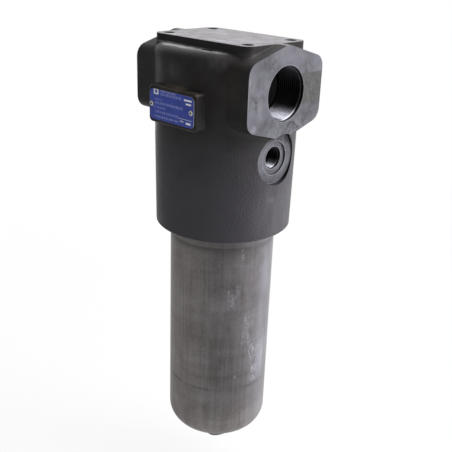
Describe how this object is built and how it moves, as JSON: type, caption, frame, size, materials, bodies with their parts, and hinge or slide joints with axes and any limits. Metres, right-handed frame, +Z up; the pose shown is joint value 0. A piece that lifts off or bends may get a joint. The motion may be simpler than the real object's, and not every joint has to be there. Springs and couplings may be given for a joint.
{
  "type": "hydraulic pressure filter",
  "caption": "In-line high-pressure hydraulic filter: cast head with opposed threaded ports, indicator port and bypass valve, over a screwed-on steel bowl that holds a pleated element.",
  "frame": {"origin": "centre of the top mounting face, midway between the four tapped holes", "axes": "+Z up, out of the mounting face; +X towards the outlet port and the indicator port; -Y towards the nameplate"},
  "size_m": [0.14, 0.138, 0.435],
  "materials": {
    "cast_head": "rough dark cast skin, fine machined faces lighter grey",
    "plate_blue": "thin printed sheet, satin blue with plain bars",
    "rivet_alloy": "bright satin",
    "turned_steel": "turned, lightly oiled",
    "tinned_steel": "pressed and tinned sheet",
    "seal_rubber": "black nitrile, smooth",
    "filter_medium": "folded glass-fibre sheet, matt",
    "potting_resin": "cured resin, slightly glossy",
    "phosphated_steel": "fine turned skin with a grey phosphate coat",
    "backup_plastic": "off-white, waxy",
    "spring_steel": "drawn wire",
    "seal_copper": "soft annealed copper"
  },
  "bodies": {
    "head": {"head_casting": "cast_head", "nameplate": "plate_blue", "nameplate_rivets": "rivet_alloy", "element_spigot": "turned_steel", "element_upper_cap": "tinned_steel", "element_o_ring": "seal_rubber", "element_pleats": "filter_medium", "element_core_tube": "tinned_steel", "element_lower_cap": "tinned_steel", "element_upper_potting": "potting_resin", "element_lower_potting": "potting_resin", "bowl_o_ring": "seal_rubber", "bowl_backup_ring": "backup_plastic", "bypass_seat": "turned_steel", "bypass_seal": "seal_copper", "bypass_cage": "turned_steel"},
    "bowl_carrier": {"spring_seat": "turned_steel", "element_spring": "spring_steel"},
    "bowl": {"bowl": "phosphated_steel"},
    "bypass_valve": {"bypass_poppet": "turned_steel", "bypass_spring": "spring_steel"}
  },
  "joints": [
    {"name": "bowl_lead", "type": "slide", "parent": "head", "child": "bowl_carrier", "axis": [0, 0, -1], "range_m": [0, 0.036], "deforming": ["element_spring"]},
    {"name": "bowl_turn", "type": "hinge", "parent": "bowl_carrier", "child": "bowl", "pos_m": [0, 0, -0.3], "axis": [0, 0, -1], "range_deg": [0, 4320]},
    {"name": "bypass_lift", "type": "slide", "parent": "head", "child": "bypass_valve", "axis": [1, 0, 0], "range_m": [0, 0.006], "stiffness_N_per_m": 9100, "springref_m": -0.0101, "deforming": ["bypass_spring"]}
  ],
  "couplings": [
    {"joint": "bowl_lead", "follows": "bowl_turn", "m_per_rad": 0.00047746}
  ]
}
